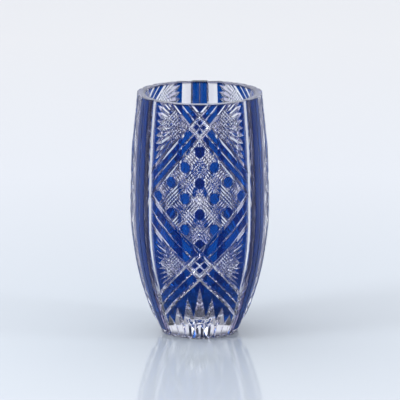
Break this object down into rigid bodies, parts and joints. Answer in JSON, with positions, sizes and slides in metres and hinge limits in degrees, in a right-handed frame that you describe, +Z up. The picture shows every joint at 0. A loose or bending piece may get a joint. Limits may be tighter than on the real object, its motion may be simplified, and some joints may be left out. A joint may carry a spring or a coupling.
{
  "type": "cut crystal vase",
  "caption": "Barrel-shaped cut crystal vase, cased in cobalt and wheel-cut to clear in crossed bands, buttons, fans and pointed flutes; stands on a flat foot and holds stems and water.",
  "frame": {"origin": "middle of the foot, on the plane the vase stands on", "axes": "+Z up along the vase's axis, -Y out of the middle of panel 1, the panel that faces the camera in the picture"},
  "size_m": [0.1484, 0.1484, 0.26],
  "materials": {
    "clear_crystal": "polished cut crystal",
    "cobalt_casing": "polished cobalt casing"
  },
  "bodies": {
    "root": {"crystal_body": "clear_crystal", "panel1_base_crown": "cobalt_casing", "panel1_lower_cross_bottom_left_band": "cobalt_casing", "panel1_lower_cross_bottom_right_band": "cobalt_casing", "panel1_lower_cross_top_left_band": "cobalt_casing", "panel1_lower_cross_top_right_band": "cobalt_casing", "panel1_lower_fan_ground_left": "cobalt_casing", "panel1_lower_fan_ground_right": "cobalt_casing", "panel1_rim_point": "cobalt_casing", "panel1_upper_cross_bottom_left_band": "cobalt_casing", "panel1_upper_cross_bottom_right_band": "cobalt_casing", "panel1_upper_cross_top_left_band": "cobalt_casing", "panel1_upper_cross_top_right_band": "cobalt_casing", "panel1_upper_fan_ground_left": "cobalt_casing", "panel1_upper_fan_ground_right": "cobalt_casing", "panel2_base_crown": "cobalt_casing", "panel2_lower_cross_bottom_left_band": "cobalt_casing", "panel2_lower_cross_bottom_right_band": "cobalt_casing", "panel2_lower_cross_top_left_band": "cobalt_casing", "panel2_lower_cross_top_right_band": "cobalt_casing", "panel2_lower_fan_ground_left": "cobalt_casing", "panel2_lower_fan_ground_right": "cobalt_casing", "panel2_rim_point": "cobalt_casing", "panel2_upper_cross_bottom_left_band": "cobalt_casing", "panel2_upper_cross_bottom_right_band": "cobalt_casing", "panel2_upper_cross_top_left_band": "cobalt_casing", "panel2_upper_cross_top_right_band": "cobalt_casing", "panel2_upper_fan_ground_left": "cobalt_casing", "panel2_upper_fan_ground_right": "cobalt_casing", "panel3_base_crown": "cobalt_casing", "panel3_lower_cross_bottom_left_band": "cobalt_casing", "panel3_lower_cross_bottom_right_band": "cobalt_casing", "panel3_lower_cross_top_left_band": "cobalt_casing", "panel3_lower_cross_top_right_band": "cobalt_casing", "panel3_lower_fan_ground_left": "cobalt_casing", "panel3_lower_fan_ground_right": "cobalt_casing", "panel3_rim_point": "cobalt_casing", "panel3_upper_cross_bottom_left_band": "cobalt_casing", "panel3_upper_cross_bottom_right_band": "cobalt_casing", "panel3_upper_cross_top_left_band": "cobalt_casing", "panel3_upper_cross_top_right_band": "cobalt_casing", "panel3_upper_fan_ground_left": "cobalt_casing", "panel3_upper_fan_ground_right": "cobalt_casing", "pillar1_stripe_left": "cobalt_casing", "pillar1_stripe_right": "cobalt_casing", "pillar2_stripe_left": "cobalt_casing", "pillar2_stripe_right": "cobalt_casing", "pillar3_stripe_left": "cobalt_casing", "pillar3_stripe_right": "cobalt_casing"}
  },
  "joints": []
}
